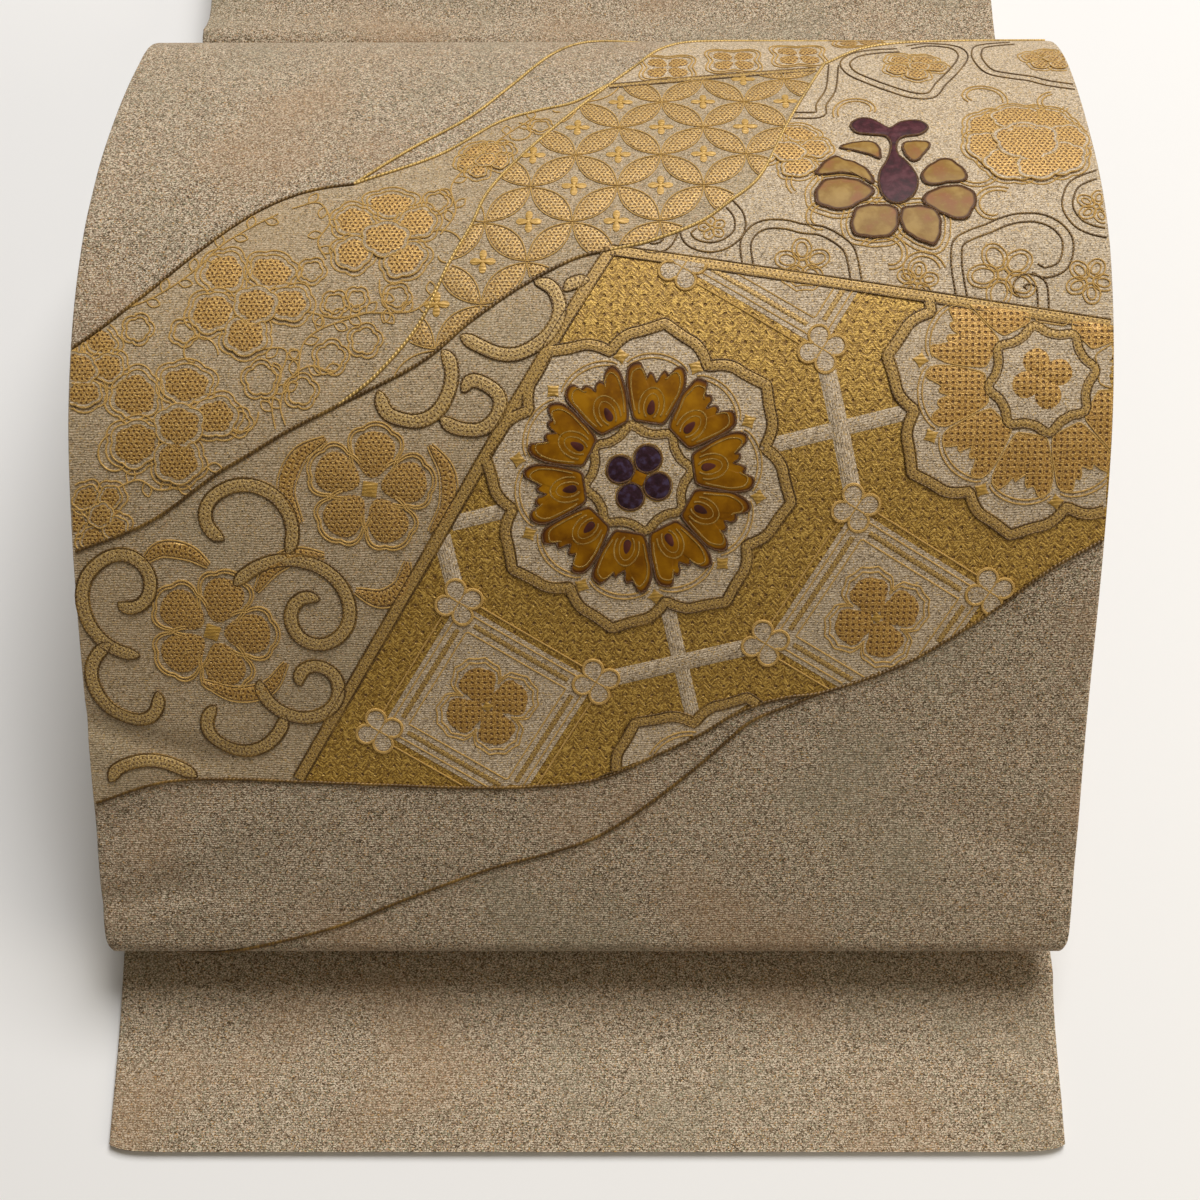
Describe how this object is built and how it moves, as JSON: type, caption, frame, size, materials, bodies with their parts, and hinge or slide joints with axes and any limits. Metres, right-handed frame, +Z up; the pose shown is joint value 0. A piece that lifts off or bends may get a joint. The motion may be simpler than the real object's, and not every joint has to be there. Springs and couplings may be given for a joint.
{
  "type": "obi sash folded in its drum bow",
  "caption": "Silk brocade obi sash laid out in its drum fold, with an arched figured panel, a flat flap in front and its spare length folded in a pile behind.",
  "frame": {"origin": "centre of the bounding box on the surface that the sash lies on", "axes": "+X to the right across the cloth, +Y to the back along the sash from the flap's hem, +Z up"},
  "size_m": [0.3148, 0.7926, 0.131],
  "materials": {
    "brocade": "fine ribbed silk in mixed beige threads with soft coloured blotches and a slight sheen",
    "gold_stitch": "gold thread embroidery laid in close rows and mesh stitches",
    "pale_stitch": "cream thread woven ground inside the figures",
    "outline_cord": "twisted bronze and gold cord, couched down",
    "amber_inlay": "glossy amber lacquered leaf with a dark rim",
    "violet_inlay": "glossy dark violet iridescent leaf"
  },
  "bodies": {
    "root": {"drum": "brocade", "flap": "brocade", "folded_pile": "brocade", "inner_fold": "brocade", "rear_run": "brocade", "rosette_petal_1": "amber_inlay", "rosette_petal_2": "amber_inlay", "rosette_petal_3": "amber_inlay", "rosette_petal_4": "amber_inlay", "rosette_petal_5": "amber_inlay", "rosette_petal_6": "amber_inlay", "rosette_petal_7": "amber_inlay", "rosette_petal_8": "amber_inlay", "rosette_petal_9": "amber_inlay", "rosette_petal_10": "amber_inlay", "bud_petal_foot_left": "amber_inlay", "bud_petal_foot_right": "amber_inlay", "bud_petal_low_right": "amber_inlay", "bud_petal_mid_right": "amber_inlay", "bud_petal_high_right": "amber_inlay", "bud_petal_high_left": "amber_inlay", "bud_petal_mid_left": "amber_inlay", "bud_petal_low_left": "amber_inlay", "rosette_disc_1": "violet_inlay", "rosette_disc_2": "violet_inlay", "rosette_disc_3": "violet_inlay", "rosette_disc_4": "violet_inlay", "bud_calyx": "violet_inlay"}
  },
  "joints": []
}
